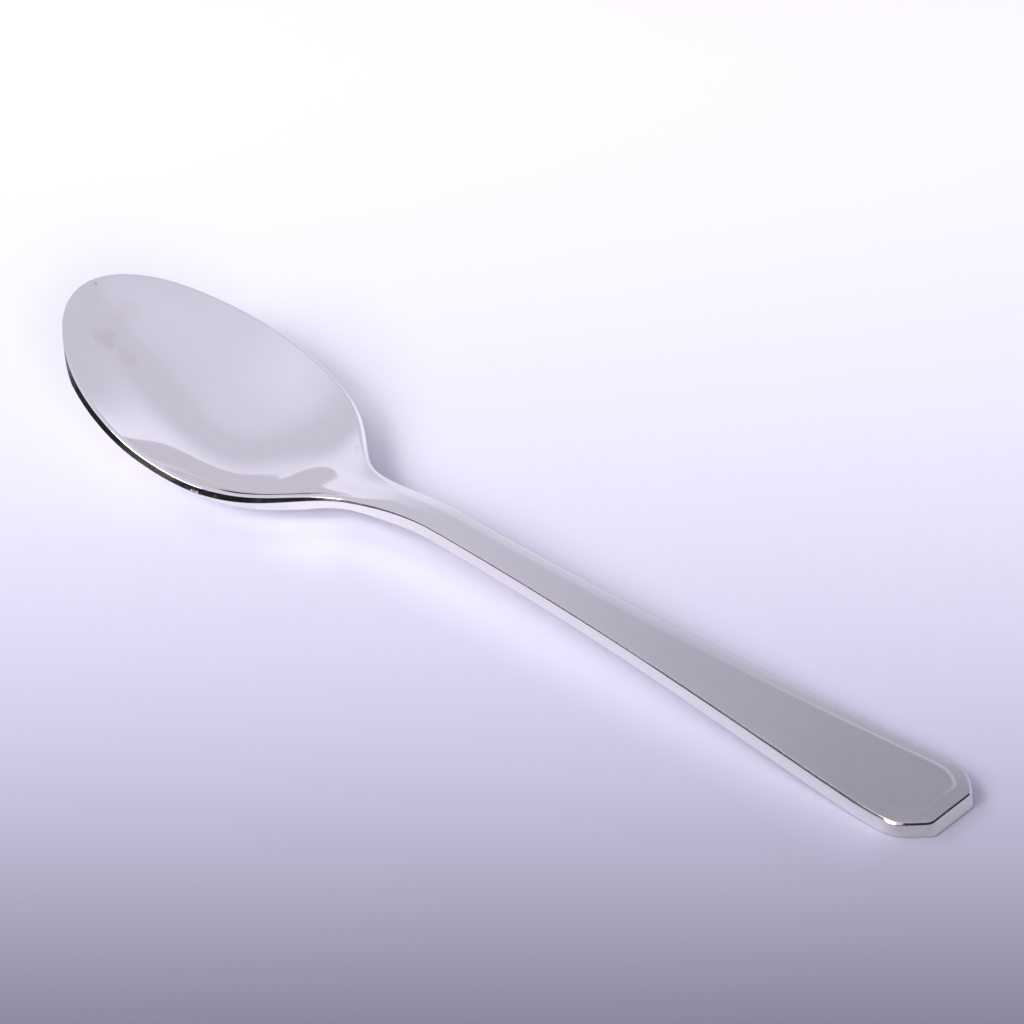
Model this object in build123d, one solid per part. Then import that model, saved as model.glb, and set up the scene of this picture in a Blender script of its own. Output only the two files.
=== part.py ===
from build123d import *
import os
from math import cos, exp, log, pi, sin, sqrt

# Overall sizes in millimetres, measured from the bowl tip along the spoon
LENGTH = 140.0
PLATE_THICKNESS = 0.04
REST_FLAT = 0.08

# Bowl
BOWL_WIDTH = 30.5
BOWL_WIDEST_AT = 24.5
BOWL_DEPTH = 5.6
BOWL_FULLNESS = 0.5
BOWL_RAMP_END = 46.5
BOWL_THICKNESS = 1.2
RIM_THINNING = 0.7
TIP_NARROWING = 0.02
TIP_HEIGHT = 15.8
RIM_SLOPE = 0.3925
RIM_SAG = 0.0028
SHOULDER_AT = 37.0
SHOULDER_SLOPE = 1.8
SHOULDER_ROUND = 4.1

# Neck, whose core is widened by the fillet at the shoulders
NECK_CORE_WIDTH = 3.9
NECK_FILLET = 7.65
NECK_START = 35.5
NECK_END = 61.9
NECK_THICKNESS = 2.4

# Handle
HANDLE_END_WIDTH = 13.6
HANDLE_FLARE_FROM = 85.6
HANDLE_FLARE_ROUND = 15.8
HANDLE_FLARE_TO = 132.1
HANDLE_FLARE_STOP = 1.5
HANDLE_DESCENT = 0.0654
HANDLE_FLAT_FROM = 130.9
HANDLE_FLAT_ROUND = 2.7
END_THICKNESS = 2.3
END_FACET_WIDTH = 7.0

# Bevelled border of the handle and the lean of its sides
BEVEL_WIDTH = 1.45
BEVEL_DROP = 0.3
BEVEL_RUNOUT = 0.1
BEVEL_START = 41.0
BEVEL_FULL = 55.0
SIDE_FLARE = 0.6
SIDE_FLARE_START = 50.0
SIDE_FLARE_FULL = 80.0
END_FLARE = 0.9


def soft_ramp(value, width):
    if value > 30 * width:
        return value
    return width * log(1 + exp(value / width))


def ease(start, end, value):
    share = min(max((value - start) / (end - start), 0.0), 1.0)
    return share * share * (3 - 2 * share)


def stations(start, end, step):
    count = max(round((end - start) / step), 1)
    return [start + (end - start) * i / count for i in range(count + 1)]


# Half width of the top edge at a distance from the tip
def handle_growth(x):
    stop = soft_ramp(x - HANDLE_FLARE_TO, HANDLE_FLARE_STOP)
    return soft_ramp(x - HANDLE_FLARE_FROM, HANDLE_FLARE_ROUND) - stop


def body_half_width(x):
    growth = (HANDLE_END_WIDTH - NECK_CORE_WIDTH) / 2 / handle_growth(LENGTH)
    handle = NECK_CORE_WIDTH / 2 + growth * handle_growth(x)
    shoulder = soft_ramp(x - SHOULDER_AT, SHOULDER_ROUND)
    shoulder -= soft_ramp(BOWL_WIDEST_AT - SHOULDER_AT, SHOULDER_ROUND)
    fillet = NECK_FILLET**2 / (2 * (BOWL_WIDTH - NECK_CORE_WIDTH))
    bowl = BOWL_WIDTH / 2 - fillet - SHOULDER_SLOPE * shoulder
    return (bowl + handle + sqrt((bowl - handle) ** 2 + NECK_FILLET**2)) / 2


def tip_share(x):
    return max((BOWL_WIDEST_AT - x) / BOWL_WIDEST_AT, 0.0)


def tapered_half_width(x):
    return body_half_width(x) * (1 - TIP_NARROWING * tip_share(x) ** 2)


def half_width(x):
    return tapered_half_width(x) * sqrt(max(1 - tip_share(x) ** 2, 0.0))


# Wall thickness along the spoon
def thickness(x):
    to_neck = ease(BOWL_WIDEST_AT + 8, BOWL_RAMP_END, x)
    handle = NECK_THICKNESS + (END_THICKNESS - NECK_THICKNESS) * ease(BOWL_RAMP_END, LENGTH, x)
    return BOWL_THICKNESS + (handle - BOWL_THICKNESS) * to_neck


# Share of the bowl depth reached on the centre line
def deep_share(x):
    if x <= BOWL_WIDEST_AT:
        return 1 - tip_share(x) ** 2
    along = min((x - BOWL_WIDEST_AT) / (BOWL_RAMP_END - BOWL_WIDEST_AT), 1.0)
    return (1 - along**2) ** 2


def bowl_rim_height(x):
    return TIP_HEIGHT - RIM_SLOPE * x + RIM_SAG * x * x


# Lowest place of the bowl's underside, on which the spoon rests
def heel_height(x):
    deep = deep_share(x)
    sink = BOWL_DEPTH * deep * (1 + BOWL_FULLNESS * (1 - deep))
    return bowl_rim_height(x) - BEVEL_RUNOUT - sink - thickness(x)


REST_LEVEL = min(heel_height(x) for x in stations(0, NECK_START, 0.1))


# Height of the top edge: the bowl rim falls from the tip, the neck rises, the handle falls to its end
def edge_height(x):
    fall = HANDLE_DESCENT * soft_ramp(HANDLE_FLAT_FROM - x, HANDLE_FLAT_ROUND)
    least = HANDLE_DESCENT * soft_ramp(HANDLE_FLAT_FROM - LENGTH, HANDLE_FLAT_ROUND)
    handle = REST_LEVEL + END_THICKNESS - BEVEL_DROP + fall - least
    mix = ease(NECK_START, NECK_END, x)
    return bowl_rim_height(x) * (1 - mix) + handle * mix


# Rise of the handle panel above its edge, negative in the bowl so that the bevel runs out at the neck
def panel_rise(x):
    return (BEVEL_DROP + BEVEL_RUNOUT) * ease(BEVEL_START, BEVEL_FULL, x) - BEVEL_RUNOUT


# Upper die surface across the spoon as a polynomial: terms of degree 0, 2 and 4 in y
def top_terms(x):
    deep = deep_share(x)
    if x <= BOWL_WIDEST_AT:
        spread = 1 / tapered_half_width(x) ** 2
    else:
        spread = deep / half_width(x) ** 2
    full = 1 + BOWL_FULLNESS
    level = edge_height(x) + panel_rise(x) - BOWL_DEPTH * (full * deep - BOWL_FULLNESS * deep**2)
    square = BOWL_DEPTH * spread * (full - 2 * BOWL_FULLNESS * deep)
    return level, square, BOWL_DEPTH * BOWL_FULLNESS * spread**2


def top_height(x, y):
    level, square, fourth = top_terms(x)
    return level + square * y**2 + fourth * y**4


# Length of the surface normal when its vertical part is 1
def stretch(x, y):
    step = 0.01
    slope_x = (top_height(x + step, y) - top_height(x - step, y)) / (2 * step)
    slope_y = (top_height(x, y + step) - top_height(x, y - step)) / (2 * step)
    return sqrt(1 + slope_x**2 + slope_y**2)


# Die surface moved down by a wall that thins to the rim, and by an even skin square to the surface
def die_terms(x, wall, skin):
    level, square, fourth = top_terms(x)
    reach = max(half_width(x), NECK_CORE_WIDTH)
    middle = stretch(x, 0)
    lean = (stretch(x, reach) - middle) / reach**2
    return level - (wall + skin) * middle, square - (wall * (1 - RIM_THINNING) + skin) * lean, fourth


# Solid above or below a die surface, lofted through sections across the spoon
def die_cutter(wall_at, skin, far_height):
    places = stations(-3, SHOULDER_AT, 3) + stations(SHOULDER_AT, NECK_END, 2)[1:]
    places += stations(NECK_END, LENGTH + 4, 8)[1:]
    sections = []
    for x in places:
        reach = BOWL_WIDTH / 2 + 2.5
        reach += (HANDLE_END_WIDTH / 2 + 2.5 - reach) * ease(SHOULDER_AT - 4, SHOULDER_AT + 14, x)
        level, square, fourth = die_terms(x, wall_at(x), skin)
        points = []
        for j, second, quartic in [(0, 1, 1), (1, 0, -1), (2, -1 / 3, 1), (3, 0, -1), (4, 1, 1)]:
            height = level + square * reach**2 * second + fourth * reach**4 * quartic
            points.append(Vector(x, reach * (j / 2 - 1), height))
        corners = [points[4], Vector(x, reach, far_height), Vector(x, -reach, far_height), points[0]]
        lines = [Edge.make_line(corners[i], corners[i + 1]) for i in range(3)]
        sections.append(Wire([Edge.make_bezier(*points)] + lines))
    return Solid.make_loft(sections)


# Plan of the spoon at its lower edge, moved inwards by the inset, as an upright prism
def flare(x):
    return SIDE_FLARE * ease(SIDE_FLARE_START, SIDE_FLARE_FULL, x)


def plan_prism(inset):
    places = [BOWL_WIDEST_AT * (1 - cos(pi / 2 * i / 12)) for i in range(1, 13)]
    places += stations(BOWL_WIDEST_AT, NECK_END, 2.5)[1:] + stations(NECK_END, LENGTH + 2, 6)[1:]
    side = []
    for x in places:
        step = 0.005
        run = (half_width(x + step) + flare(x + step) - half_width(x - step) - flare(x - step)) / (2 * step)
        size = sqrt(1 + run * run)
        side.append((x + inset * run / size, half_width(x) + flare(x) - inset / size))
    around = [(x, -y) for x, y in reversed(side)] + [(inset, 0)] + side
    curve = Edge.make_spline([Vector(x, y, -20) for x, y in around])
    close = Edge.make_line(Vector(*around[-1], -20), Vector(*around[0], -20))
    return extrude(Face(Wire([curve, close])), amount=60, dir=(0, 0, 1))


# Cutter along one side of the handle, lofted through four-sided sections
def strip_cutter(side, start, section_at):
    sections = []
    for x in stations(start, NECK_END + 20, 4) + stations(NECK_END + 20, LENGTH + 4, 9)[1:]:
        corners = [Vector(x, side * y, z) for y, z in section_at(x)]
        sections.append(Wire.make_polygon(corners, close=True))
    return Solid.make_loft(sections)


def side_cutter(side, inset):
    lean = SIDE_FLARE / END_THICKNESS

    def section_at(x):
        edge = half_width(x) - inset + 0.2 * (1 - flare(x) / SIDE_FLARE)
        top = edge_height(x) + 3
        return [(edge - lean * 3, top), (edge + lean * 5, top - 8), (edge + 12, top - 8), (edge + 12, top)]

    return strip_cutter(side, SIDE_FLARE_START - 6, section_at)


def bevel_cutter(side, inset):
    lean = BEVEL_DROP / BEVEL_WIDTH

    def section_at(x):
        edge = half_width(x)
        level = edge_height(x) - inset
        inner = edge - BEVEL_WIDTH - 1
        return [(inner, level + lean * (BEVEL_WIDTH + 1)), (edge + 2, level - lean * 2),
                (edge + 2, level + 8), (inner, level + 8)]

    return strip_cutter(side, BEVEL_START - 5, section_at)


# A block below the table. It leaves small flats where the spoon rests and the plate is worn through
TABLE = (Align.CENTER, Align.CENTER, Align.MAX)


# Block that lies beyond a plane through a point
def beyond(point, normal):
    return Plane(origin=point, z_dir=normal) * Box(60, 60, 15, align=(Align.CENTER, Align.CENTER, Align.MIN))


# Sloped faces and bevels of the straight end and of its two clipped corners
def end_cutters(inset):
    end_x = LENGTH - END_FLARE
    level = edge_height(end_x)
    lean = END_FLARE / (level - REST_LEVEL - REST_FLAT)
    bevel = BEVEL_DROP / BEVEL_WIDTH
    cutters = []
    for turn in (0, pi / 4, -pi / 4):
        across = 0 if turn == 0 else END_FACET_WIDTH / 2 * (1 if turn > 0 else -1)
        place = Vector(end_x, across, level)
        for normal in (Vector(cos(turn), sin(turn), lean), Vector(bevel * cos(turn), bevel * sin(turn), 1)):
            cutters.append(beyond(place - normal.normalized() * inset, normal))
    return cutters


def struck_body(inset):
    body = plan_prism(inset)
    body -= die_cutter(lambda x: 0, inset, 60)
    body -= die_cutter(thickness, -inset, -60)
    for side in (1, -1):
        body -= side_cutter(side, inset)
        body -= bevel_cutter(side, inset)
    for cutter in end_cutters(inset):
        body -= cutter
    body -= Pos(LENGTH / 2, 0, REST_LEVEL + REST_FLAT) * Box(400, 100, 60, align=TABLE)
    return max(body.solids(), key=lambda solid: solid.volume)


outer = struck_body(0.0)
blank = struck_body(PLATE_THICKNESS)
plate = outer - blank

# Frame: origin below the middle of the spoon, handle end towards +X
box = outer.bounding_box()
home = Location((-(box.min.X + box.max.X) / 2, 0, -box.min.Z))
os.makedirs("parts", exist_ok=True)
export_step(home * blank, "parts/base_metal_blank.step")
export_step(home * plate, "parts/silver_plate.step")
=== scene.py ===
import math

import bpy
import numpy as np
from mathutils import Matrix, Vector


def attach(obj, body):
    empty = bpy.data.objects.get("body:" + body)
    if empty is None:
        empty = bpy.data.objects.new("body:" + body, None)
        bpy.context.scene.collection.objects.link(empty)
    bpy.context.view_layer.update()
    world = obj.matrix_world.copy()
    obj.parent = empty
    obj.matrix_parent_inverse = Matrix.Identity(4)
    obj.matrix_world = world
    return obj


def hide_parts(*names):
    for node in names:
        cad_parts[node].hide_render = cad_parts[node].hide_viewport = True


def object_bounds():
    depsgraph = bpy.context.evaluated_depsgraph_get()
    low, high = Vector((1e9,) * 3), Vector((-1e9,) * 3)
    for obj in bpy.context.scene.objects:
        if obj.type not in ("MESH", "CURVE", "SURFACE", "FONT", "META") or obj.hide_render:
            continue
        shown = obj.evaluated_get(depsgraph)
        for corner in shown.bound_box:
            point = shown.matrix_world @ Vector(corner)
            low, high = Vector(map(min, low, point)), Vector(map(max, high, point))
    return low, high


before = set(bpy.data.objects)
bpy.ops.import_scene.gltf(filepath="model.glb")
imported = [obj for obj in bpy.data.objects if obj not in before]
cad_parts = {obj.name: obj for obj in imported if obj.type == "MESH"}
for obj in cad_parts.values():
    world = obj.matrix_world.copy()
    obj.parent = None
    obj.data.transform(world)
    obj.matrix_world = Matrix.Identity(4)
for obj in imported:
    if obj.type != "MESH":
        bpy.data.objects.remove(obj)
cad_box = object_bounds()

# Outline and rim of the spoon in millimetres, measured from the bowl tip, as in the CAD source
LENGTH = 140.0
BOWL_WIDTH = 30.5
BOWL_WIDEST_AT = 24.5
TIP_NARROWING = 0.02
TIP_HEIGHT = 15.8
RIM_SLOPE = 0.3925
RIM_SAG = 0.0028
SHOULDER_AT = 37.0
SHOULDER_SLOPE = 1.8
SHOULDER_ROUND = 4.1
NECK_CORE_WIDTH = 3.9
NECK_FILLET = 7.65
NECK_START = 35.5
NECK_END = 61.9
HANDLE_END_WIDTH = 13.6
HANDLE_FLARE_FROM = 85.6
HANDLE_FLARE_ROUND = 15.8
HANDLE_FLARE_TO = 132.1
HANDLE_FLARE_STOP = 1.5
HANDLE_DESCENT = 0.0654
HANDLE_FLAT_FROM = 130.9
HANDLE_FLAT_ROUND = 2.7
END_X = 139.1
END_EDGE_HEIGHT = 2.0
BEVEL_RUNOUT = 0.1
REST_LEVEL = -0.046
REST_FLAT = 0.08

# The narrow land below the top edge stands out of it, so the edge of the handle sits further in and up
HANDLE_INSET = 0.2
INSET_OVER = (42.0, 48.0)
HANDLE_RAISE = 0.2
RAISE_OVER = (36.0, 46.0)

# Wall: thicker under the heel and towards the end, a little thinner at the rim of the bowl
BOWL_THICKNESS = 1.2
NECK_THICKNESS = 1.95
END_THICKNESS = 2.3
THICKER_FROM, THICKER_TO = 38.0, 56.0
HEEL_EXTRA = 0.75
HEEL_RISES_OVER = (28.0, 40.0)
HEEL_FALLS_OVER = (41.0, 50.0)
RIM_WALL_SHARE = 0.92
EVEN_WALL_OVER = (32.0, 46.0)

# Hollow of the bowl, finer than in the CAD source: open towards the tip, steeper at the heel.
# The depths are the control points of a Bezier curve from the tip to the end of the hollow
HOLLOW_END = 54.0
HOLLOW_DEPTHS = (0.0, 3.105, 0.960, 4.256, 11.391, 7.847, -0.542, 1.526, 0.0, 0.0)
SECTION_FULLNESS = (-0.198, 1.72, -0.038)
SECTION_STEEPNESS = (-0.026, -1.427)
SECTION_LENGTH = 20.0
SECTION_STOP = 50.0
SECTION_SOFT = 0.06
OFF_TIP = 1e-7

# Bevelled border of the handle
END_FACET_WIDTH = 7.6
BEVEL_WIDTH = 1.75
BEVEL_DROP = 0.28
BEVEL_CURVE = 1.15
BEVEL_OVER = (30.0, 46.0)
BEVEL_LEAN = BEVEL_DROP / BEVEL_WIDTH
CLIP = END_X + END_FACET_WIDTH / 2

# Narrow lands below the top edge, each by how far it stands out and how far it drops
RIM_LAND = (0.70, 0.98)
EDGE_LAND = (0.22, 0.32)
CORNER_LAND = (0.36, 0.36)
TIP_LAND_SHARE = 0.06
EDGE_LAND_AT = (46, 50, 54, 60, 75, 95, 108, 132)
EDGE_LAND_SHARES = (1.1, 1.0, 0.65, 0.5, 0.55, 0.68, 0.85, 1.0)
LAND_WALL_SHARE = 0.75
EDGE_LAND_OVER = (33.0, 50.0)

# How far the foot of the side stands out
RIM_FOOT = 0.30
NECK_FOOT = 0.28
SIDE_FOOT = 0.45
END_FOOT = 0.75
SIDE_FOOT_OVER = (80.0, 125.0)

# Kinds of edge, told by how far the outline's normal points along the spoon
TIP_FACING = (-0.64, -0.36)
END_FACING = (0.72, 0.97)
CORNER_FACING = (0.02, 0.25)
PAST_CORNER_FACING = (0.4, 0.65)
END_EDGE_FROM = 125.0

# Rounds
TOP_ROUND = 0.40
BOTTOM_ROUND = 0.32
RIDGE_ROUND = 0.25
REST_ROUND = 0.03
SIDE_CORNER_ROUND = 1.4
END_CORNER_ROUND = 0.25
CORNER_ROUND_FROM = 118.0
CORNER_ROUND_WITHIN = (2.0, 4.0)

# Steps over which slopes are taken
STRETCH_STEP = 0.01
OUTLINE_STEP = 1e-3
TURN_STEP = 1e-4
NORMAL_STEP = 0.004
OFF_MIDDLE = 2e-3


def soft_ramp(value, width):
    return width * np.logaddexp(0.0, np.asarray(value, float) / width)


def ease(start, end, value):
    share = np.clip((np.asarray(value, float) - start) / (end - start), 0.0, 1.0)
    return share * share * (3 - 2 * share)


def smooth_min(a, b, width):
    share = np.clip(0.5 + 0.5 * (b - a) / width, 0.0, 1.0)
    return b + (a - b) * share - width * share * (1 - share)


def slopes(height, x, y, step):
    """Slopes of a height function along the spoon and across it."""
    along = (height(x + step, y) - height(x - step, y)) / (2 * step)
    across = (height(x, y + step) - height(x, y - step)) / (2 * step)
    return along, across


# Half width of the top edge at a distance from the tip
def handle_growth(x):
    stop = soft_ramp(x - HANDLE_FLARE_TO, HANDLE_FLARE_STOP)
    return soft_ramp(x - HANDLE_FLARE_FROM, HANDLE_FLARE_ROUND) - stop


def body_half_width(x):
    growth = (HANDLE_END_WIDTH - NECK_CORE_WIDTH) / 2 / handle_growth(LENGTH)
    handle = NECK_CORE_WIDTH / 2 + growth * handle_growth(x)
    shoulder = soft_ramp(x - SHOULDER_AT, SHOULDER_ROUND)
    shoulder = shoulder - soft_ramp(BOWL_WIDEST_AT - SHOULDER_AT, SHOULDER_ROUND)
    fillet = NECK_FILLET**2 / (2 * (BOWL_WIDTH - NECK_CORE_WIDTH))
    bowl = BOWL_WIDTH / 2 - fillet - SHOULDER_SLOPE * shoulder
    return (bowl + handle + np.sqrt((bowl - handle) ** 2 + NECK_FILLET**2)) / 2


def tip_share(x):
    return np.maximum((BOWL_WIDEST_AT - np.asarray(x, float)) / BOWL_WIDEST_AT, 0.0)


def tapered_half_width(x):
    inset = HANDLE_INSET * ease(*INSET_OVER, x)
    return body_half_width(x) * (1 - TIP_NARROWING * tip_share(x) ** 2) - inset


def half_width(x):
    return tapered_half_width(x) * np.sqrt(np.maximum(1 - tip_share(x) ** 2, 0.0))


def thickness(x):
    to_neck = ease(THICKER_FROM, THICKER_TO, x)
    handle = NECK_THICKNESS + (END_THICKNESS - NECK_THICKNESS) * ease(THICKER_TO, LENGTH, x)
    heel = HEEL_EXTRA * ease(*HEEL_RISES_OVER, x) * (1 - ease(*HEEL_FALLS_OVER, x))
    return BOWL_THICKNESS + (handle - BOWL_THICKNESS) * to_neck + heel


# Height of the top edge: the bowl rim falls from the tip, the neck rises, the handle falls to its end
def bowl_rim_height(x):
    return TIP_HEIGHT - RIM_SLOPE * x + RIM_SAG * x * x


def edge_height(x):
    fall = HANDLE_DESCENT * soft_ramp(HANDLE_FLAT_FROM - x, HANDLE_FLAT_ROUND)
    least = HANDLE_DESCENT * soft_ramp(HANDLE_FLAT_FROM - LENGTH, HANDLE_FLAT_ROUND)
    handle = REST_LEVEL + END_EDGE_HEIGHT + fall - least
    mix = ease(NECK_START, NECK_END, x)
    raised = HANDLE_RAISE * ease(*RAISE_OVER, x)
    return bowl_rim_height(x) * (1 - mix) + handle * mix + raised


def panel_rise(x):
    return (BEVEL_DROP + BEVEL_RUNOUT) * ease(*BEVEL_OVER, x) - BEVEL_RUNOUT


# Depth of the bowl's middle line below its rim
def hollow_depth(x):
    share = np.minimum(x / HOLLOW_END, 1.0)
    last = len(HOLLOW_DEPTHS) - 1
    depth = 0.0
    for k, value in enumerate(HOLLOW_DEPTHS):
        depth = depth + value * math.comb(last, k) * share**k * (1 - share) ** (last - k)
    return depth


# Upper die surface: the panel of the handle and the hollow of the bowl
def die_height(x, y):
    x = np.asarray(x, float) + OFF_TIP
    open_tip = 1 - tip_share(x) ** 2
    across = (y / tapered_half_width(x)) ** 2
    section = across / (np.maximum(open_tip, 0.0) + SECTION_SOFT)
    station = (np.clip(x, 0.0, SECTION_STOP) - BOWL_WIDEST_AT) / SECTION_LENGTH
    fullness = np.polyval(SECTION_FULLNESS[::-1], station)
    steepness = np.polyval(SECTION_STEEPNESS[::-1], station)
    shape = 1 + fullness * section + steepness * section**2
    depth = hollow_depth(x) * (1 - across / open_tip)
    return edge_height(x) + panel_rise(x) - depth * shape


# Length of the surface normal when its vertical part is 1
def stretch(x, y):
    along, across = slopes(die_height, x, y, STRETCH_STEP)
    return np.sqrt(1 + along**2 + across**2)


# Plan distance inside the outline of the top edge, with its clipped and rounded corners at the end
def inside(x, y):
    corner = (CLIP - x - np.abs(y)) / math.sqrt(2)
    end = smooth_min(END_X - x, corner, END_CORNER_ROUND)
    return smooth_min(half_width(x) - np.abs(y), end, SIDE_CORNER_ROUND)


# Upper surface: the die, cut by a bevel that rolls down to the edge
def top_height(x, y):
    depth = inside(x, y)
    share = np.clip(depth / BEVEL_WIDTH, -1.0, 1.0)
    rise = BEVEL_DROP * (1 - (1 - share) ** BEVEL_CURVE)
    border = edge_height(x) + rise + BEVEL_LEAN * np.maximum(depth - BEVEL_WIDTH, 0.0)
    return smooth_min(die_height(x, y), border, BEVEL_LEAN * RIDGE_ROUND)


# Lower surface: the die moved down by the wall, flat where it rests on the table
def bottom_height(x, y):
    reach = np.maximum(half_width(x), NECK_CORE_WIDTH)
    in_bowl = 1 - ease(*EVEN_WALL_OVER, x)
    thinning = 1 - (1 - RIM_WALL_SHARE) * np.minimum((y / reach) ** 2, 1.0) * in_bowl
    low = die_height(x, y) - thickness(x) * thinning * stretch(x, y)
    return -smooth_min(-low, 0 * x - REST_LEVEL - REST_FLAT, REST_ROUND)


def with_height(plan, height):
    return np.concatenate([plan, height(plan[..., 0], plan[..., 1])[..., None]], -1)


# Half of the plan outline at the top edge with its outward normals, from the tip to the middle of the end
def tip_point(turn):
    x = BOWL_WIDEST_AT * (1 - np.cos(turn))
    return np.stack([x, tapered_half_width(x) * np.sin(turn)], -1)


def tip_outline(turn):
    run = tip_point(turn + TURN_STEP) - tip_point(turn - TURN_STEP)
    run /= np.linalg.norm(run, axis=-1, keepdims=True)
    return tip_point(turn), np.stack([-run[:, 1], run[:, 0]], -1)


def side_outline(x):
    run = (half_width(x + OUTLINE_STEP) - half_width(x - OUTLINE_STEP)) / (2 * OUTLINE_STEP)
    size = np.sqrt(1 + run**2)
    return np.stack([x, half_width(x)], -1), np.stack([-run / size, 1 / size], -1)


# Distance past the end outline, with its two clipped corners, and the x of a line inside it
END_SEARCH_BEFORE = 25.0
END_SEARCH_PAST = 3.0
END_SEARCH_HALVINGS = 50


def end_gap(x, y):
    corner = (x + np.abs(y) - CLIP) / math.sqrt(2)
    return -smooth_min(END_X - x, -corner, END_CORNER_ROUND)


def end_line(y, depth):
    low = np.full_like(y, END_X - END_SEARCH_BEFORE)
    high = np.full_like(y, END_X + END_SEARCH_PAST)
    for _ in range(END_SEARCH_HALVINGS):
        middle = (low + high) / 2
        past = end_gap(middle, y) > -depth
        high = np.where(past, middle, high)
        low = np.where(past, low, middle)
    return (low + high) / 2


# Rows across one half, from the edge to the middle: border, ridge, then panel
BORDER_ROWS = [0.0, 0.1, 0.25, 0.45, 0.7, 0.88]
RIDGE_ROWS = [-1.0, -0.66, -0.33, 0.0, 0.33, 0.66, 1.0]
PANEL_ROWS = 20
HALF_ROWS = len(BORDER_ROWS) + len(RIDGE_ROWS) + PANEL_ROWS - 2
ROW_GAP = 0.02
HANDLE_ROWS_OVER = (40.0, 49.0)

# Lines along the spoon: round the tip, to the neck, along the handle and into the end
TIP_TURN = 0.72
BOWL_LINES = 36
NECK_LINES_TO, NECK_LINES = 62.0, 90
HANDLE_LINES_TO, HANDLE_LINES = 124.0, 78
END_LINES_FROM, END_LINES = 7.4, 16
END_LINE_GAP = 0.3
END_WIDTH_AT = END_X - 4
TIP_BLEND_LINES = 40
END_BLEND_LINES = 60


def border_steps(ridge_at):
    """Distances from the edge of the rows outside the panel, where the ridge runs at ridge_at."""
    ridge = max(ridge_at, TOP_ROUND + ROW_GAP + 2 * RIDGE_ROUND)
    start = ridge - RIDGE_ROUND
    outer = [TOP_ROUND + (start - TOP_ROUND) * share for share in BORDER_ROWS]
    return outer + [ridge + RIDGE_ROUND * share for share in RIDGE_ROWS]


def handle_rows(x, width):
    """Offsets y of the rows from the edge to the middle at a place on the handle."""
    ridge_at = float(panel_rise(np.asarray(x))) / BEVEL_LEAN
    steps = [width + TOP_ROUND - step for step in border_steps(ridge_at)]
    rest = np.linspace(steps[-1], 0.0, PANEL_ROWS)[1:]
    return np.array(steps + list(rest))


def build_half_loop():
    tip = tip_outline(np.linspace(0.0, TIP_TURN, HALF_ROWS + 1))
    bowl = tip_outline(np.linspace(TIP_TURN, math.pi / 2, BOWL_LINES + 1))
    neck_x = np.linspace(BOWL_WIDEST_AT, NECK_LINES_TO, NECK_LINES + 1)[1:]
    handle_x = np.linspace(NECK_LINES_TO, HANDLE_LINES_TO, HANDLE_LINES + 1)[1:]
    side = side_outline(np.concatenate([neck_x, handle_x]))
    border = border_steps(BEVEL_WIDTH)[::-1]
    ends = np.array(list(np.linspace(END_LINES_FROM, border[0] + END_LINE_GAP, END_LINES)) + border)
    edge = float(half_width(np.asarray(END_WIDTH_AT)))
    corner = side_outline(CLIP - edge - math.sqrt(2) * (ends - TOP_ROUND))
    place, normal = (np.concatenate(parts) for parts in zip(bowl, side, corner))
    return tip, (place, normal), ends


(tip_place, tip_normal), (side_place, side_normal), END_STEPS = build_half_loop()
LINES = len(side_place)
inner = side_place - TOP_ROUND * side_normal
tip_inner = tip_place - TOP_ROUND * tip_normal

# Plan positions of one half of the upper grid: lines across the spoon, rows along it, middle row first
plan = np.zeros((LINES, HALF_ROWS + 1, 2))
tip_share_y = tip_inner[:, 1] / tip_inner[-1, 1]
tip_shift_x = tip_inner[:, 0] - tip_inner[-1, 0]
first_end = LINES - len(END_STEPS)
for i, (x, width) in enumerate(inner):
    bend = 1 - ease(0, TIP_BLEND_LINES, i)
    rows = handle_rows(x, width)[::-1]
    onto_handle = ease(*HANDLE_ROWS_OVER, x)
    plan[i, :, 0] = x + bend * tip_shift_x
    plan[i, :, 1] = tip_share_y * width * (1 - onto_handle) + rows * onto_handle
for k, step in enumerate(END_STEPS):
    plan[first_end + k, :, 0] = end_line(plan[first_end + k, :, 1], step)
end_shape = plan[first_end, :, 0] - plan[first_end, -1, 0]
for back in range(1, END_BLEND_LINES):
    plan[first_end - back, :, 0] += end_shape * (1 - ease(0, END_BLEND_LINES, back))


# Rounds the plan corner between each side and its clipped corner
def outline_slope(x, y):
    slope = np.stack(slopes(lambda x, y: -inside(x, y), x, y, OUTLINE_STEP), -1)
    return slope / np.linalg.norm(slope, axis=-1, keepdims=True)


near_end = plan[..., 0] > CORNER_ROUND_FROM
sharp_gap = np.maximum(plan[..., 1] - half_width(plan[..., 0]), end_gap(plan[..., 0], plan[..., 1]))
push = -inside(plan[..., 0], plan[..., 1]) - sharp_gap
push = np.where(near_end, push, 0.0) * (1 - ease(*CORNER_ROUND_WITHIN, -sharp_gap))
slope = outline_slope(plan[..., 0], np.maximum(plan[..., 1], OFF_MIDDLE))
plan -= push[..., None] * np.where(near_end[..., None], slope, 0.0)

full = np.concatenate([plan[:, :0:-1] * [1, -1], plan], 1)
ROWS = full.shape[1]
top = with_height(full, top_height)


# Places of the rim in the order of a loop round the spoon, and the outward normal at each
def loop_order():
    order = [(i, ROWS - 1) for i in range(LINES - 1)]
    order += [(LINES - 1, j) for j in range(ROWS - 1, 0, -1)]
    order += [(i, 0) for i in range(LINES - 1, 0, -1)]
    order += [(0, j) for j in range(ROWS - 1)]
    return order


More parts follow.
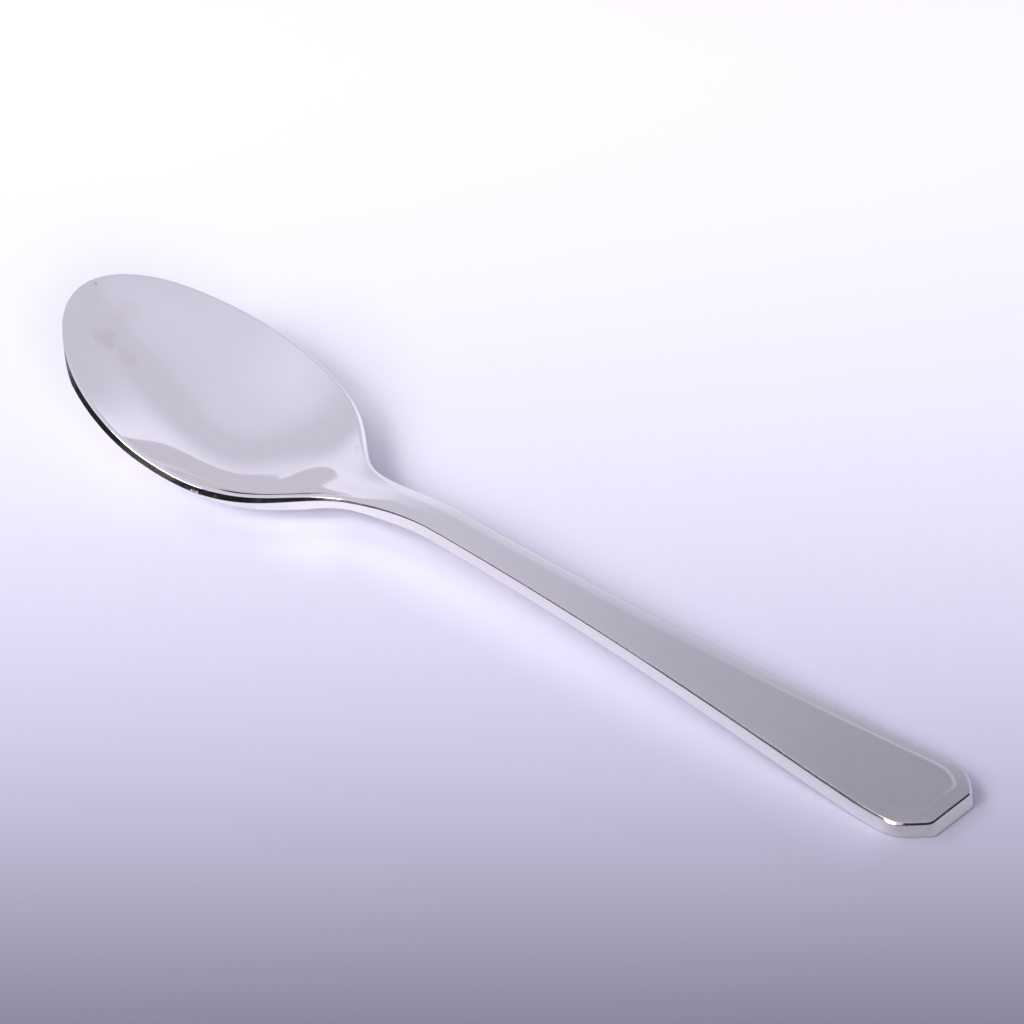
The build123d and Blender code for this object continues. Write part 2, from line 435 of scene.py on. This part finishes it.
def rim_normal(i, j):
    row = abs(j - HALF_ROWS)
    side = 1 if j >= HALF_ROWS else -1
    x, y = plan[i, row]
    if x > END_EDGE_FROM and row == 0:
        normal = np.array([1.0, 0.0])
    elif x > END_EDGE_FROM:
        normal = outline_slope(np.asarray(x), np.asarray(max(y, OFF_MIDDLE)))
    elif i == 0:
        normal = tip_normal[row]
    else:
        normal = side_normal[i]
    return np.array([normal[0], side * normal[1]])


loop = loop_order()
rim_n = np.array([rim_normal(i, j) for i, j in loop])
rim_inner = np.array([full[i, j] for i, j in loop])
rim_edge = rim_inner + TOP_ROUND * rim_n

# Width and drop of the land, and how far the foot of the side stands out, at each place of the rim
edge_x, facing = rim_edge[:, 0], rim_n[:, 0]
near_end = edge_x > END_EDGE_FROM
on_handle = ease(*EDGE_LAND_OVER, edge_x)
at_end = ease(*END_FACING, facing) * near_end
at_corner = ease(*CORNER_FACING, facing) * (1 - ease(*PAST_CORNER_FACING, facing)) * near_end
rim_share = TIP_LAND_SHARE + (1 - TIP_LAND_SHARE) * ease(*TIP_FACING, facing)
edge_share = np.interp(edge_x, EDGE_LAND_AT, EDGE_LAND_SHARES)
land = np.outer((1 - on_handle) * rim_share, RIM_LAND)
land += np.outer(on_handle * (1 - at_corner) * edge_share, EDGE_LAND)
land += np.outer(on_handle * at_corner, CORNER_LAND)
wall = top_height(edge_x, rim_edge[:, 1]) - bottom_height(edge_x, rim_edge[:, 1])
land *= np.minimum(1, LAND_WALL_SHARE * wall / land[:, 1])[:, None]
side_foot = NECK_FOOT + (SIDE_FOOT - NECK_FOOT) * ease(*SIDE_FOOT_OVER, edge_x)
foot_out = RIM_FOOT + (side_foot - RIM_FOOT) * on_handle + (END_FOOT - SIDE_FOOT) * at_end
rim_mid = rim_edge + land[:, :1] * rim_n
rim_foot = rim_edge + foot_out[:, None] * rim_n
rim_base = rim_foot - BOTTOM_ROUND * rim_n

# Plan positions of the lower grid: the upper ones moved out by the lean of the sides
moved = {place: rim_base[k] - rim_inner[k] for k, place in enumerate(loop)}
along = np.linspace(0, 1, LINES)[:, None, None]
across = np.linspace(0, 1, ROWS)[None, :, None]
side_0 = np.array([moved[(i, 0)] for i in range(LINES)])[:, None]
side_1 = np.array([moved[(i, ROWS - 1)] for i in range(LINES)])[:, None]
end_0 = np.array([moved[(0, j)] for j in range(ROWS)])[None]
end_1 = np.array([moved[(LINES - 1, j)] for j in range(ROWS)])[None]
shift = (1 - across) * side_0 + across * side_1 + (1 - along) * end_0 + along * end_1
shift -= (1 - along) * ((1 - across) * end_0[:, :1] + across * end_0[:, -1:])
shift -= along * ((1 - across) * end_1[:, :1] + across * end_1[:, -1:])
bottom = with_height(full + shift, bottom_height)

# Section of the edge from the top to the underside: a narrow land, then the side
LEAST_WEIGHT = 0.02
LONGEST_SHARE = 0.48
LAND_START_SHARE = 0.30
LAND_STOP_SHARE = 0.15
TOP_ROUND_STEPS, LAND_ROUND_STEPS, FOOT_ROUND_STEPS = 8, 6, 8
SIDE_ROWS = (0, 0.5, 1)


def span(a, b):
    return np.linalg.norm(a - b, axis=-1, keepdims=True)


def round_corner(start, corner, finish, count):
    """Points on a conic that rounds the corner, without its two ends, each with its direction."""
    before = corner - start
    after = finish - corner
    cosine = (before * after).sum(-1, keepdims=True) / span(corner, start) / span(finish, corner)
    weight = np.sqrt(np.clip((1 + cosine) / 2, LEAST_WEIGHT, 1))
    points = []
    for k in range(1, count):
        t = k / count
        a, b, c = (1 - t) ** 2, 2 * t * (1 - t) * weight, t**2
        point = (a * start + b * corner + c * finish) / (a + b + c)
        da, db, dc = -2 * (1 - t), 2 * (1 - 2 * t) * weight, 2 * t
        points.append((point, da * start + db * corner + dc * finish - point * (da + db + dc)))
    return points


def along_line(start, finish, distance):
    return start + (finish - start) * np.minimum(distance / span(finish, start), LONGEST_SHARE)


rim_top = np.array([top[i, j] for i, j in loop])
rim_low = np.array([bottom[i, j] for i, j in loop])
edge_top = with_height(rim_edge, top_height)
middle = np.concatenate([rim_mid, edge_top[:, 2:] - land[:, 1:]], -1)
foot = with_height(rim_foot, bottom_height)
land_length = span(edge_top, middle)
land_start = along_line(edge_top, middle, LAND_START_SHARE * land_length)
land_stop = along_line(middle, edge_top, LAND_STOP_SHARE * land_length)
side_start = along_line(middle, foot, LAND_STOP_SHARE * land_length)
side_stop = along_line(foot, middle, span(foot, rim_low))
rings = round_corner(rim_top, edge_top, land_start, TOP_ROUND_STEPS)
rings += [(land_start, middle - edge_top), (land_stop, middle - edge_top)]
rings += round_corner(land_stop, middle, side_start, LAND_ROUND_STEPS)
rings += [(side_start + (side_stop - side_start) * share, foot - middle) for share in SIDE_ROWS]
rings += round_corner(side_stop, foot, rim_low, FOOT_ROUND_STEPS)


# Normals worked out from the surfaces, so that the polished metal reflects without facets
def surface_normals(points, height, up):
    along, across = slopes(height, points[..., 0], points[..., 1], NORMAL_STEP)
    return up * np.stack([-along, -across, np.ones_like(along)], -1).reshape(-1, 3)


def ring_normals(points, way):
    around = np.roll(points, -1, 0) - np.roll(points, 1, 0)
    return np.cross(around, way)


normals = [surface_normals(top, top_height, 1), surface_normals(bottom, bottom_height, -1)]
normals += [ring_normals(points, way) for points, way in rings]
normals = np.concatenate(normals)
normals /= np.linalg.norm(normals, axis=-1, keepdims=True)

# Mesh in metres in the CAD frame: upper grid, lower grid, then the rings round the edge
MM_PER_METRE = 1000
lowest = cad_box[0]
base = [lowest.x * MM_PER_METRE, 0.0, lowest.z * MM_PER_METRE - bottom[..., 2].min()]
vertices = [top.reshape(-1, 3), bottom.reshape(-1, 3)] + [points for points, _ in rings]
vertices = (np.concatenate(vertices) + base) / MM_PER_METRE
LOW = LINES * ROWS
RING = 2 * LINES * ROWS


def grid_faces():
    faces = []
    for i in range(LINES - 1):
        for j in range(ROWS - 1):
            a = i * ROWS + j
            b = a + ROWS
            faces.append((a, b, b + 1, a + 1))
            faces.append((LOW + a, LOW + a + 1, LOW + b + 1, LOW + b))
    return faces


def ring_faces():
    count = len(loop)
    columns = []
    for k, (i, j) in enumerate(loop):
        at = i * ROWS + j
        columns.append([at] + [RING + r * count + k for r in range(len(rings))] + [LOW + at])
    faces = []
    for this, following in zip(columns, columns[1:] + columns[:1]):
        for r in range(len(this) - 1):
            faces.append((this[r], following[r], following[r + 1], this[r + 1]))
    return faces


mesh = bpy.data.meshes.new("teaspoon")
mesh.from_pydata(vertices.tolist(), [], grid_faces() + ring_faces())
mesh.validate()
mesh.update()
mesh.polygons.foreach_set("use_smooth", np.ones(len(mesh.polygons), bool))
mesh.normals_split_custom_set_from_vertices(normals.tolist())

# Distance from the edge in millimetres, for the painted highlight along the ridge and the dents near the rim.
# The underside counts as far from it
UNDERSIDE = 9.0
edge_distance = np.zeros(len(vertices))
edge_distance[:LOW] = inside(full[..., 0], full[..., 1]).ravel()
edge_distance[LOW:RING] = UNDERSIDE
mesh.attributes.new("edge_distance", "FLOAT", "POINT").data.foreach_set("value", edge_distance)

spoon = bpy.data.objects.new("teaspoon", mesh)
bpy.context.scene.collection.objects.link(spoon)
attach(spoon, "root")
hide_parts("base_metal_blank", "silver_plate")


# Nodes that the materials and the world share
def new_material(name):
    made = bpy.data.materials.new(name)
    made.use_nodes = True
    shader = next(n for n in made.node_tree.nodes if n.type == "BSDF_PRINCIPLED")
    return made, made.node_tree, shader


def socket(tree, target, value):
    """Links a node's output to the socket, or sets a plain value on it."""
    if isinstance(value, bpy.types.NodeSocket):
        tree.links.new(value, target)
    else:
        target.default_value = value


def math_node(tree, operation, *values, clamp=False):
    node = tree.nodes.new("ShaderNodeMath")
    node.operation = operation
    node.use_clamp = clamp
    for target, value in zip(node.inputs, values):
        socket(tree, target, value)
    return node.outputs[0]


def product(tree, first, *others):
    for other in others:
        first = math_node(tree, "MULTIPLY", first, other)
    return first


def vector_node(tree, operation, first, second):
    node = tree.nodes.new("ShaderNodeVectorMath")
    node.operation = operation
    tree.links.new(first, node.inputs[0])
    node.inputs[1].default_value = second
    return node.outputs


def dot(tree, vector, way):
    return vector_node(tree, "DOT_PRODUCT", vector, way)["Value"]


def smooth_map(tree, value, low, high, to_low=0.0, to_high=1.0):
    node = tree.nodes.new("ShaderNodeMapRange")
    node.interpolation_type = "SMOOTHSTEP"
    socket(tree, node.inputs["Value"], value)
    node.inputs["From Min"].default_value = low
    node.inputs["From Max"].default_value = high
    node.inputs["To Min"].default_value = to_low
    node.inputs["To Max"].default_value = to_high
    return node.outputs["Result"]


def noise(tree, vector, scale, detail, rough):
    node = tree.nodes.new("ShaderNodeTexNoise")
    tree.links.new(vector, node.inputs["Vector"])
    node.inputs["Scale"].default_value = scale
    node.inputs["Detail"].default_value = detail
    node.inputs["Roughness"].default_value = rough
    return node.outputs["Fac"]


def blend(tree, share, a, b):
    node = tree.nodes.new("ShaderNodeMix")
    node.data_type = "RGBA"
    tree.links.new(share, node.inputs["Factor"])
    socket(tree, node.inputs[6], a)
    socket(tree, node.inputs[7], b)
    return node.outputs[2]


def attribute(tree, name):
    node = tree.nodes.new("ShaderNodeAttribute")
    node.attribute_name = name
    return node.outputs["Fac"]


# Polished silver, bright in the bowl and on the edges. The top of the handle has painted shade, darker
# towards its end, and the sides and end faces have painted reflections of the shaded table
CLEAN_SILVER = (0.965, 0.948, 0.925, 1)
# Colour of the painted shade on the top of the handle
SILVER_PAINTED_SHADE = (0.50, 0.488, 0.49, 1)
BROWN_TARNISH = (0.62, 0.53, 0.44, 1)
# Painted reflections of the shaded table: warmer sides, and darker end faces
SIDE_PAINTED_REFLECTION = (0.965, 0.925, 0.885, 1)
END_PAINTED_SHADE = (0.80, 0.755, 0.70, 1)

# Places along the spoon in metres, and faces told by how far they look up
PAINTED_SHADE_OVER = (-0.035, 0.085)
END_PAINTED_SHADE_OVER = (0.0635, 0.0665)
SATIN_OVER = (-0.034, -0.016)
DENTS_OVER = (-0.022, -0.03)
TOP_FACES = (0.55, 0.9)
SIDE_FACES = (0.5, 0.2)

# Painted shade, uneven in clouds, and a painted highlight where it is left off the ridge on the far side.
# RIDGE_WITHIN is in millimetres from the ridge, FAR_SIDE in metres across the spoon
CLOUD_SHARE, CLOUD_BASE = 0.25, 0.88
RIDGE_WITHIN = (0.06, 0.36)
FAR_SIDE = (0.0005, 0.0045)
RIDGE_PAINTED_HIGHLIGHT = (0.05, 0.5)

# Noises: scale, detail and roughness
CLOUDS = (55.0, 5.0, 0.55)
STREAKS = (1500.0, 3.0, 0.55)
STREAK_STRETCH = (0.05, 1.0, 0.3)
SPECKLES = (900.0, 5.0, 0.65)
DENTS = (650.0, 3.0, 0.5)

# Roughness of the bowl, what the handle and the streaks add to it, and fine relief in metres
BOWL_ROUGHNESS = 0.045
HANDLE_ROUGHNESS = 0.10
STREAK_ROUGHNESS = 0.05
STREAK_FROM, STREAK_TO = 0.45, 0.75
STREAK_RELIEF, STREAK_STRENGTH = 0.00005, 0.035
DENT_RELIEF = 0.00004
DENTS_WITHIN = (0.5, 0.1)

# Tarnish stains in the bowl: centre and radius in metres, strength
STAINS = [
    ((-0.0631, -0.0035, 0.0117), 0.0024, 0.22),
    ((-0.0600, -0.0030, 0.0097), 0.0020, 0.16),
    ((-0.0650, 0.0020, 0.0126), 0.0030, 0.10),
    ((-0.0622, -0.0069, 0.0122), 0.0003, 0.9),
    ((-0.0694, 0.0011, 0.0152), 0.0004, 0.5),
]
STAIN_RAGGED = 1.4
STAIN_CORE = 0.25


def painted_shade_share(tree, place, along_spoon, facing_up, distance):
    """Share of painted shade on the top of the handle, darker towards its end, left off the ridge on the far
    side as a painted highlight.
    """
    clouds = noise(tree, place, *CLOUDS)
    uneven = math_node(tree, "MULTIPLY_ADD", clouds, CLOUD_SHARE, CLOUD_BASE)
    on_top = product(tree, smooth_map(tree, along_spoon, *PAINTED_SHADE_OVER), smooth_map(tree, facing_up, *TOP_FACES))
    painted_shade = math_node(tree, "MULTIPLY", on_top, uneven, clamp=True)
    from_ridge = math_node(tree, "ABSOLUTE", math_node(tree, "SUBTRACT", distance, BEVEL_WIDTH))
    ridge = smooth_map(tree, from_ridge, *RIDGE_WITHIN, 1.0, 0.0)
    # Painted highlight: the painted shade is lifted off the ridge on the far side
    far_ridge_highlight = smooth_map(tree, dot(tree, place, (0, 1, 0)), *FAR_SIDE, *RIDGE_PAINTED_HIGHLIGHT)
    return product(tree, painted_shade, math_node(tree, "SUBTRACT", 1.0, product(tree, ridge, far_ridge_highlight)))


def stain(tree, place, speckles, centre, radius):
    """Share of a soft round stain around a place in metres."""
    distance = vector_node(tree, "DISTANCE", place, centre)["Value"]
    offset = math_node(tree, "SUBTRACT", speckles, 0.5)
    ragged = math_node(tree, "MULTIPLY_ADD", offset, STAIN_RAGGED * radius, distance)
    return smooth_map(tree, ragged, STAIN_CORE * radius, radius, 1.0, 0.0)


def silver_relief(tree, place, along_spoon, distance, streaks):
    """Normal with fine polishing streaks, and small dents on the rim of the bowl."""
    scratched = tree.nodes.new("ShaderNodeBump")
    scratched.inputs["Strength"].default_value = STREAK_STRENGTH
    scratched.inputs["Distance"].default_value = STREAK_RELIEF
    tree.links.new(streaks, scratched.inputs["Height"])
    dented = tree.nodes.new("ShaderNodeBump")
    dented.inputs["Distance"].default_value = DENT_RELIEF
    on_rim = smooth_map(tree, distance, *DENTS_WITHIN)
    on_rim = product(tree, on_rim, smooth_map(tree, along_spoon, *DENTS_OVER))
    tree.links.new(on_rim, dented.inputs["Strength"])
    tree.links.new(noise(tree, place, *DENTS), dented.inputs["Height"])
    tree.links.new(scratched.outputs["Normal"], dented.inputs["Normal"])
    return dented.outputs["Normal"]


def silver_material():
    made, tree, shader = new_material("silver")
    coordinates = tree.nodes.new("ShaderNodeTexCoord")
    place = coordinates.outputs["Object"]
    along_spoon = dot(tree, place, (1, 0, 0))
    facing_up = dot(tree, coordinates.outputs["Normal"], (0, 0, 1))
    distance = attribute(tree, "edge_distance")

    # Painted shade on the top of the handle, darker towards its end
    painted_shade = painted_shade_share(tree, place, along_spoon, facing_up, distance)
    colour = blend(tree, painted_shade, CLEAN_SILVER, SILVER_PAINTED_SHADE)
    # Painted reflections of the shaded table: warmer on the sides, darker on the end faces
    upright = smooth_map(tree, facing_up, *SIDE_FACES)
    colour = blend(tree, upright, colour, SIDE_PAINTED_REFLECTION)
    end_face = product(tree, upright, smooth_map(tree, along_spoon, *END_PAINTED_SHADE_OVER))
    colour = blend(tree, end_face, colour, END_PAINTED_SHADE)
    speckles = noise(tree, place, *SPECKLES)
    for centre, radius, strength in STAINS:
        share = product(tree, stain(tree, place, speckles, centre, radius), strength)
        colour = blend(tree, share, colour, BROWN_TARNISH)
    tree.links.new(colour, shader.inputs["Base Color"])
    shader.inputs["Metallic"].default_value = 1.0

    streaks = noise(tree, vector_node(tree, "MULTIPLY", place, STREAK_STRETCH)["Vector"], *STREAKS)
    satin = smooth_map(tree, along_spoon, *SATIN_OVER)
    rough = math_node(tree, "MULTIPLY_ADD", satin, HANDLE_ROUGHNESS, BOWL_ROUGHNESS)
    streaked = smooth_map(tree, streaks, STREAK_FROM, STREAK_TO, 0.0, STREAK_ROUGHNESS)
    tree.links.new(math_node(tree, "ADD", rough, streaked), shader.inputs["Roughness"])
    relief = silver_relief(tree, place, along_spoon, distance, streaks)
    tree.links.new(relief, shader.inputs["Normal"])
    return made


mesh.materials.append(silver_material())

# Ways on the table: away from the camera and to the picture's right
AWAY = (-0.65707, 0.75383, 0.0)
ACROSS = (0.75383, 0.65707, 0.0)

# Floor: white behind the spoon, greyer towards the front, painted shade in place of the light falling off.
# Each shade stands at a distance away in metres
FLOOR_SIZE = 6
FLOOR_PAINTED_SHADES = [
    (-0.12, (0.030, 0.032, 0.045)),
    (-0.085, (0.158, 0.160, 0.203)),
    (-0.035, (0.545, 0.551, 0.672)),
    (0.02, (0.782, 0.783, 0.888)),
    (0.08, (0.94, 0.935, 0.955)),
    (0.13, (0.99, 0.985, 0.98)),
]
FLOOR_FROM, FLOOR_TO = FLOOR_PAINTED_SHADES[0][0], FLOOR_PAINTED_SHADES[-1][0]
FLOOR_ROUGHNESS = 0.5
FLOOR_GLOSS = 0.05

# Painted light: a paler band in the floor colour along the near side, in place of the light the polished
# metal throws on the table. Places in metres
NEAR_SIDE_WAY, NEAR_SIDE_AT = (0.055, 1, 0), 0.0030
HANDLE_BAND, HANDLE_GLOW = (-0.009, 0.0), 0.13
BOWL_BAND, BOWL_GLOW = (-0.015, -0.004), 0.2
BOWL_BAND_OVER = (-0.014, -0.026)
BAND_STOPS = (0.004, 0.0015)
BAND_ENDS_OVER = (0.0685, 0.063)
BAND_STARTS_OVER = (-0.056, -0.036)


# Painted shade: the floor colour darkens towards the front
def floor_painted_shade(tree, place):
    ramp = tree.nodes.new("ShaderNodeValToRGB")
    ramp.color_ramp.interpolation = "B_SPLINE"
    stops = ramp.color_ramp.elements
    while len(stops) < len(FLOOR_PAINTED_SHADES):
        stops.new(0.5)
    for stop, (at, tint) in zip(stops, FLOOR_PAINTED_SHADES):
        stop.position = (at - FLOOR_FROM) / (FLOOR_TO - FLOOR_FROM)
        stop.color = (*tint, 1)
    share = tree.nodes.new("ShaderNodeMapRange")
    tree.links.new(dot(tree, place, AWAY), share.inputs["Value"])
    share.inputs["From Min"].default_value = FLOOR_FROM
    share.inputs["From Max"].default_value = FLOOR_TO
    tree.links.new(share.outputs["Result"], ramp.inputs["Fac"])
    return ramp.outputs["Color"]


def painted_thrown_light(tree, place):
    """Share of painted light by which the table's colour is paler in the band along the near side."""
    along = dot(tree, place, (1, 0, 0))
    past_side = math_node(tree, "ADD", dot(tree, place, NEAR_SIDE_WAY), NEAR_SIDE_AT)
    by_handle = product(tree, smooth_map(tree, past_side, *HANDLE_BAND), HANDLE_GLOW)
    by_bowl = smooth_map(tree, along, *BOWL_BAND_OVER, 0.0, BOWL_GLOW)
    by_bowl = product(tree, smooth_map(tree, past_side, *BOWL_BAND), by_bowl)
    thrown = math_node(tree, "MAXIMUM", by_handle, by_bowl)
    ends = smooth_map(tree, along, *BAND_ENDS_OVER), smooth_map(tree, along, *BAND_STARTS_OVER)
    return product(tree, thrown, smooth_map(tree, past_side, *BAND_STOPS), *ends)


def floor_material():
    made, tree, shader = new_material("floor")
    place = tree.nodes.new("ShaderNodeTexCoord").outputs["Object"]
    paler = tree.nodes.new("ShaderNodeVectorMath")
    paler.operation = "SCALE"
    tree.links.new(floor_painted_shade(tree, place), paler.inputs[0])
    # Painted light along the near side, added to the floor colour
    tree.links.new(math_node(tree, "ADD", painted_thrown_light(tree, place), 1.0), paler.inputs["Scale"])
    tree.links.new(paler.outputs["Vector"], shader.inputs["Base Color"])
    shader.inputs["Roughness"].default_value = FLOOR_ROUGHNESS
    shader.inputs["Specular IOR Level"].default_value = FLOOR_GLOSS
    return made


bpy.ops.mesh.primitive_plane_add(size=FLOOR_SIZE, location=(0, 0, 0))
floor = bpy.context.object
floor.name = "floor"
floor.data.materials.append(floor_material())

# World: a pale tent of light, brightest low behind the spoon and at the upper left
SKY_COLOUR = (0.972, 0.940, 1.151, 1)
SKY_LIGHT = 0.60
BEHIND_OVER, BELOW_OVER, BEHIND_LIGHT = (0.60, 0.84), (0.62, 0.18), 0.24
ZENITH_OVER, ZENITH_LIGHT = (0.75, 1.0), 0.08
LEFT_AWAY, LEFT_ACROSS, LEFT_UP = -0.6, -0.6, 0.53
LEFT_OVER, LEFT_LIGHT = (0.4, 0.95), 0.12
LESS_ON_FLOOR = -0.35


def sky_strength(tree):
    way = tree.nodes.new("ShaderNodeTexCoord").outputs["Generated"]
    height = dot(tree, way, (0, 0, 1))
    behind = smooth_map(tree, dot(tree, way, AWAY), *BEHIND_OVER)
    low_behind = product(tree, behind, smooth_map(tree, height, *BELOW_OVER))
    zenith = smooth_map(tree, height, *ZENITH_OVER)
    upper_left = LEFT_AWAY * np.array(AWAY) + LEFT_ACROSS * np.array(ACROSS) + [0, 0, LEFT_UP]
    left = smooth_map(tree, dot(tree, way, upper_left.tolist()), *LEFT_OVER)
    light = math_node(tree, "MULTIPLY_ADD", low_behind, BEHIND_LIGHT, SKY_LIGHT)
    light = math_node(tree, "MULTIPLY_ADD", zenith, ZENITH_LIGHT, light)
    light = math_node(tree, "MULTIPLY_ADD", left, LEFT_LIGHT, light)
    ray = tree.nodes.new("ShaderNodeLightPath")
    on_floor = math_node(tree, "MULTIPLY_ADD", ray.outputs["Is Diffuse Ray"], LESS_ON_FLOOR, 1.0)
    return product(tree, light, on_floor)


world = bpy.data.worlds.new("studio")
bpy.context.scene.world = world
world.use_nodes = True
background = world.node_tree.nodes["Background"]
background.inputs["Color"].default_value = SKY_COLOUR
world.node_tree.links.new(sky_strength(world.node_tree), background.inputs["Strength"])


def placed(azimuth, elevation, distance):
    """Point seen from the spoon at an azimuth from AWAY towards ACROSS, in degrees."""
    a = np.radians(np.asarray(azimuth))[..., None]
    e = np.radians(np.asarray(elevation))[..., None]
    flat = np.cos(e) * (np.sin(a) * ACROSS + np.cos(a) * AWAY)
    return distance * (flat + np.sin(e) * np.array([0, 0, 1.0]))


# Dark cloth around the camera, which only the metal's reflections show. Angles are in degrees
CLOTH_FROM, CLOTH_TO = 48, 312
CAMERA_AZIMUTH = 180
CLOTH_LOW = 3.0
CLOTH_TOP_AT = (0, 50, 70, 90, 105, 120, 132)
CLOTH_TOP = (47, 42, 38, 32, 26, 19, 12)
CLOTH_DISTANCE = 1.5
CLOTH_COLOUR = (0.03, 0.03, 0.035, 1)

# Points of the cloth across and up, and how many of them each fading edge takes
CLOTH_ACROSS, CLOTH_UP = 61, 21
SIDE_FADE = (0, 8)
LOW_FADE = (-1, 3)
TOP_FADE = (0, 4)


def cloth_object():
    azimuths = np.linspace(CLOTH_FROM, CLOTH_TO, CLOTH_ACROSS)
    highest = np.interp(np.abs(azimuths - CAMERA_AZIMUTH), CLOTH_TOP_AT, CLOTH_TOP)
    elevations = CLOTH_LOW + (highest[:, None] - CLOTH_LOW) * np.linspace(0, 1, CLOTH_UP)
    points = placed(np.repeat(azimuths[:, None], CLOTH_UP, 1), elevations, CLOTH_DISTANCE)
    cells = []
    for i in range(CLOTH_ACROSS - 1):
        for j in range(CLOTH_UP - 1):
            a = i * CLOTH_UP + j
            cells.append((a, a + CLOTH_UP, a + CLOTH_UP + 1, a + 1))
    cloth_mesh = bpy.data.meshes.new("dark_cloth")
    cloth_mesh.from_pydata(points.reshape(-1, 3).tolist(), [], cells)
    column, row = np.arange(CLOTH_ACROSS), np.arange(CLOTH_UP)
    sideways = ease(*SIDE_FADE, column) * ease(*SIDE_FADE, column[::-1])
    upwards = ease(*LOW_FADE, row) * ease(*TOP_FADE, row[::-1])
    cover = cloth_mesh.attributes.new("cover", "FLOAT", "POINT")
    cover.data.foreach_set("value", np.outer(sideways, upwards).ravel())
    made = bpy.data.objects.new("dark_cloth", cloth_mesh)
    bpy.context.scene.collection.objects.link(made)
    return made


def cloth_material():
    """Dark where the cloth covers, for the first look from the metal only."""
    made, tree, shader = new_material("dark_cloth")
    tree.nodes.remove(shader)
    ray = tree.nodes.new("ShaderNodeLightPath")
    not_from_floor = math_node(tree, "LESS_THAN", ray.outputs["Diffuse Depth"], 0.5)
    first_look = math_node(tree, "LESS_THAN", ray.outputs["Glossy Depth"], 1.5)
    diffuse = tree.nodes.new("ShaderNodeBsdfDiffuse")
    diffuse.inputs["Color"].default_value = CLOTH_COLOUR
    clear = tree.nodes.new("ShaderNodeBsdfTransparent")
    mixed = tree.nodes.new("ShaderNodeMixShader")
    share = product(tree, attribute(tree, "cover"), not_from_floor, first_look)
    tree.links.new(share, mixed.inputs[0])
    tree.links.new(clear.outputs[0], mixed.inputs[1])
    tree.links.new(diffuse.outputs[0], mixed.inputs[2])
    output = next(n for n in tree.nodes if n.type == "OUTPUT_MATERIAL")
    tree.links.new(mixed.outputs[0], output.inputs["Surface"])
    return made


cloth = cloth_object()
cloth.visible_camera = False
cloth.visible_diffuse = False
cloth.visible_transmission = False
cloth.visible_shadow = False
cloth.data.materials.append(cloth_material())

# Lamps: the key makes the glints, and the shadow lamp casts the soft shadow. Metal shows these two only
WARM_LIGHT = (1.0, 0.97, 0.92)
SOFT_LIGHT = (1.0, 0.985, 1.0)
KEY_SIZE, KEY_DISTANCE = (0.55, 0.20), 0.9
SOFT_SIZE, SOFT_DISTANCE = (0.7, 0.7), 1.8


def add_lamp(name, sizes, colour, distance, azimuth, elevation, watts, in_metal):
    light = bpy.data.lights.new(name, "AREA")
    light.shape = "RECTANGLE"
    light.size, light.size_y = sizes
    light.energy = watts
    light.color = colour
    lamp = bpy.data.objects.new(name, light)
    bpy.context.scene.collection.objects.link(lamp)
    lamp.location = Vector(placed(azimuth, elevation, distance))
    lamp.rotation_euler = lamp.location.to_track_quat("Z", "Y").to_euler()
    lamp.visible_glossy = in_metal


KEY = ("key", KEY_SIZE, WARM_LIGHT, KEY_DISTANCE)
add_lamp(*KEY, azimuth=-127.0, elevation=45.0, watts=1.5, in_metal=True)
SOFT = (SOFT_SIZE, SOFT_LIGHT, SOFT_DISTANCE)
add_lamp("shadow", *SOFT, azimuth=-125.0, elevation=34.0, watts=14.0, in_metal=True)
add_lamp("fill", *SOFT, azimuth=-58.0, elevation=36.0, watts=7.8, in_metal=False)
add_lamp("front", *SOFT, azimuth=172.0, elevation=28.0, watts=13.0, in_metal=False)

# Camera, placed as the photograph's. It looks along AWAY, so its right is ACROSS
CAMERA_PLACE = (0.32369, -0.36860, 0.35076)
CAMERA_UP = (-0.37370, 0.42873, 0.82252)
CAMERA_BACK = (0.54046, -0.62004, 0.56873)
SENSOR_WIDTH = 36.0
LENS = 173.28
NEAREST, FARTHEST = 0.01, 50

camera_data = bpy.data.cameras.new("camera")
camera = bpy.data.objects.new("camera", camera_data)
bpy.context.scene.collection.objects.link(camera)
camera_data.sensor_fit = "HORIZONTAL"
camera_data.sensor_width = SENSOR_WIDTH
camera_data.lens = LENS
camera_data.clip_start = NEAREST
camera_data.clip_end = FARTHEST
turned = Matrix((ACROSS, CAMERA_UP, CAMERA_BACK)).transposed().to_4x4()
camera.matrix_world = Matrix.Translation(CAMERA_PLACE) @ turned
bpy.context.scene.camera = camera

bpy.context.scene.view_settings.view_transform = "Standard"

bpy.context.view_layer.update()
